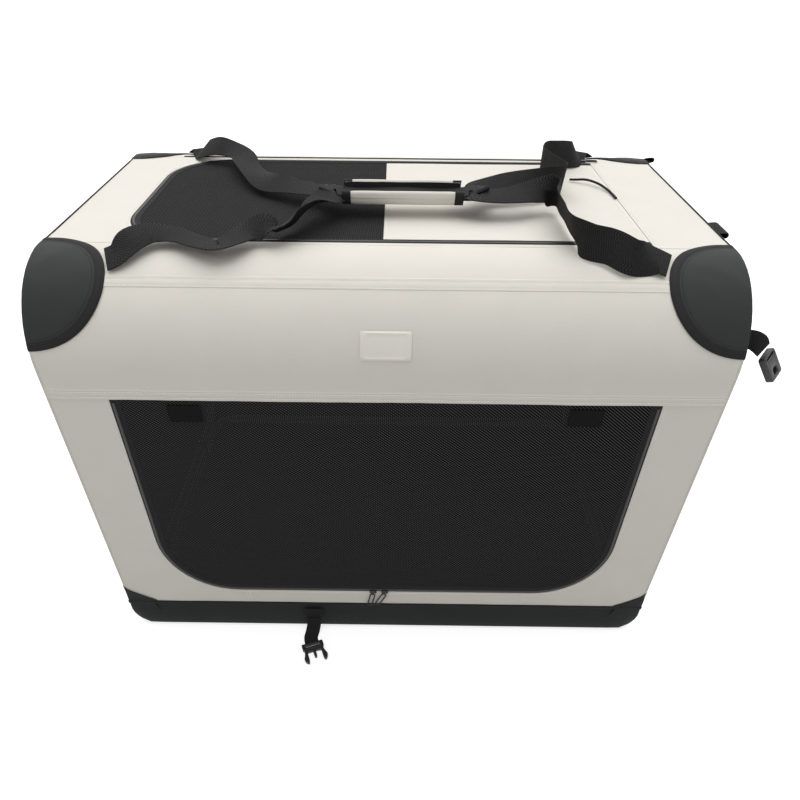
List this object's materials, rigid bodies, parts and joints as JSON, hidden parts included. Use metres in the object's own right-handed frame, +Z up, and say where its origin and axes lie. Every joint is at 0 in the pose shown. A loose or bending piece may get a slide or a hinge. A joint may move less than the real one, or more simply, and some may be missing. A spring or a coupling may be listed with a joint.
{
  "type": "soft dog crate",
  "caption": "Soft-sided folding pet crate with a zip-open mesh front, a zip-open mesh and fabric roof, a padded carry handle and a black tray base.",
  "frame": {"origin": "on the floor under the middle of the tray", "axes": "+X along the crate's length towards the roof door's hinge, -Y out of the front door, +Z up"},
  "size_m": [0.8688, 0.6548, 0.6239],
  "materials": {
    "grey_fabric": "light warm grey woven polyester, matt",
    "black_fabric": "black coated woven polyester, faint sheen",
    "black_webbing": "black twill webbing",
    "black_mesh": "black open knit mesh",
    "floor_board": "dark stiffening board",
    "tube_steel": "grey powder-coated steel tube",
    "black_plastic": "black moulded plastic, satin",
    "zip_metal": "black lacquered zip hardware"
  },
  "bodies": {
    "base": {"base_tray": "black_fabric", "floor_board": "floor_board", "base_ring": "tube_steel", "left_front_base_clip": "black_plastic", "left_rear_base_clip": "black_plastic", "right_front_base_clip": "black_plastic", "right_rear_base_clip": "black_plastic", "front_wall": "grey_fabric", "front_flap": "grey_fabric", "rear_wall": "grey_fabric", "end_wall_left": "grey_fabric", "end_wall_right": "grey_fabric", "end_mesh_left": "black_mesh", "end_mesh_right": "black_mesh", "corner_guard_left_front": "black_fabric", "corner_guard_left_rear": "black_fabric", "corner_guard_right_front": "black_fabric", "corner_guard_right_rear": "black_fabric", "label_patch": "black_fabric", "front_keeper": "black_webbing"},
    "left_lower": {"left_lower_frame": "tube_steel", "left_front_knee_pin": "tube_steel", "left_rear_knee_pin": "tube_steel"},
    "left_upper": {"left_upper_frame": "tube_steel"},
    "right_lower": {"right_lower_frame": "tube_steel", "right_front_knee_pin": "tube_steel", "right_rear_knee_pin": "tube_steel"},
    "right_upper": {"right_upper_frame": "tube_steel"},
    "roof": {"roof_panel": "grey_fabric", "roof_rail_front": "tube_steel", "roof_rail_rear": "tube_steel", "left_front_roof_clip": "black_plastic", "left_rear_roof_clip": "black_plastic", "right_front_roof_clip": "black_plastic", "right_rear_roof_clip": "black_plastic", "edge_tab_front": "black_webbing", "edge_tab_rear": "black_webbing", "roof_slider_right": "zip_metal", "roof_tie": "black_fabric"},
    "roof_door": {"roof_door_mesh": "black_mesh", "roof_door_panel": "grey_fabric", "roof_door_tape": "black_fabric"},
    "roof_slider": {"roof_slider_left": "zip_metal"},
    "front_door": {"front_door_mesh": "black_mesh", "front_door_tape": "black_fabric", "door_tab_left": "black_webbing", "door_tab_right": "black_webbing"},
    "carry_handle": {"carry_strap_front": "black_webbing", "carry_strap_rear": "black_webbing", "handle_wrap": "grey_fabric"},
    "front_clasp": {"front_webbing": "black_webbing", "front_buckle": "black_plastic"},
    "end_clasp": {"end_webbing": "black_webbing", "end_buckle": "black_plastic"},
    "zip_slider_left": {"front_slider_left": "zip_metal"},
    "zip_slider_right": {"front_slider_right": "zip_metal"},
    "zip_pull_left": {"front_pull_left": "zip_metal"},
    "zip_pull_right": {"front_pull_right": "zip_metal"}
  },
  "joints": [
    {"name": "fold", "type": "hinge", "parent": "base", "child": "left_lower", "pos_m": [-0.3902, 0, 0.0312], "axis": [0, 1, 0], "range_deg": [0, 84], "deforming": ["front_wall", "front_flap", "rear_wall", "end_wall_left", "end_wall_right", "end_mesh_left", "end_mesh_right", "corner_guard_left_front", "corner_guard_left_rear", "corner_guard_right_front", "corner_guard_right_rear", "label_patch", "front_door_mesh", "front_door_tape", "door_tab_left", "door_tab_right", "front_slider_left", "front_slider_right", "front_pull_left", "front_pull_right", "end_webbing", "end_buckle"]},
    {"name": "left_knee", "type": "hinge", "parent": "left_lower", "child": "left_upper", "pos_m": [-0.3932, 0, 0.2982], "axis": [0, 1, 0], "range_deg": [-168, 0]},
    {"name": "left_roof", "type": "hinge", "parent": "left_upper", "child": "roof", "pos_m": [-0.3902, 0, 0.5652], "axis": [0, 1, 0], "range_deg": [0, 84]},
    {"name": "right_fold", "type": "hinge", "parent": "base", "child": "right_lower", "pos_m": [0.3902, 0, 0.0312], "axis": [0, 1, 0], "range_deg": [-84, 0]},
    {"name": "right_knee", "type": "hinge", "parent": "right_lower", "child": "right_upper", "pos_m": [0.3932, 0, 0.2982], "axis": [0, 1, 0], "range_deg": [0, 168]},
    {"name": "front_door", "type": "hinge", "parent": "base", "child": "front_door", "pos_m": [0, -0.2882, 0.4334], "axis": [1, 0, 0], "range_deg": [-100, 0]},
    {"name": "roof_door", "type": "hinge", "parent": "roof", "child": "roof_door", "pos_m": [0.312, 0, 0.5782], "axis": [0, -1, 0], "range_deg": [-150, 0], "deforming": ["carry_strap_front", "carry_strap_rear", "handle_wrap", "roof_tie"]},
    {"name": "roof_zip", "type": "slide", "parent": "roof", "child": "roof_slider", "axis": [1, 0, 0], "range_m": [-0.48, 0]},
    {"name": "handle_lift", "type": "slide", "parent": "roof", "child": "carry_handle", "axis": [0, 0, 1], "range_m": [0, 0.12], "deforming": ["carry_strap_front", "carry_strap_rear"]},
    {"name": "front_clasp", "type": "hinge", "parent": "base", "child": "front_clasp", "pos_m": [-0.113, -0.2954, 0.0235], "axis": [-1, 0, 0], "range_deg": [0, 90]},
    {"name": "end_clasp", "type": "hinge", "parent": "base", "child": "end_clasp", "pos_m": [0.4056, -0.262, 0.509], "axis": [0, 1, 0], "range_deg": [-60, 0]},
    {"name": "zip_left", "type": "slide", "parent": "base", "child": "zip_slider_left", "axis": [1, 0, 0], "range_m": [-0.2, 0]},
    {"name": "zip_right", "type": "slide", "parent": "base", "child": "zip_slider_right", "axis": [1, 0, 0], "range_m": [0, 0.2]},
    {"name": "pull_left", "type": "hinge", "parent": "zip_slider_left", "child": "zip_pull_left", "pos_m": [-0.018, -0.2912, 0.0844], "axis": [1, 0, 0], "range_deg": [-110, 0]},
    {"name": "pull_right", "type": "hinge", "parent": "zip_slider_right", "child": "zip_pull_right", "pos_m": [0, -0.2912, 0.0844], "axis": [1, 0, 0], "range_deg": [-110, 0]}
  ],
  "couplings": [
    {"joint": "left_knee", "follows": "fold", "ratio": -2},
    {"joint": "left_roof", "follows": "fold", "ratio": 1},
    {"joint": "right_fold", "follows": "fold", "ratio": -1},
    {"joint": "right_knee", "follows": "fold", "ratio": 2}
  ]
}
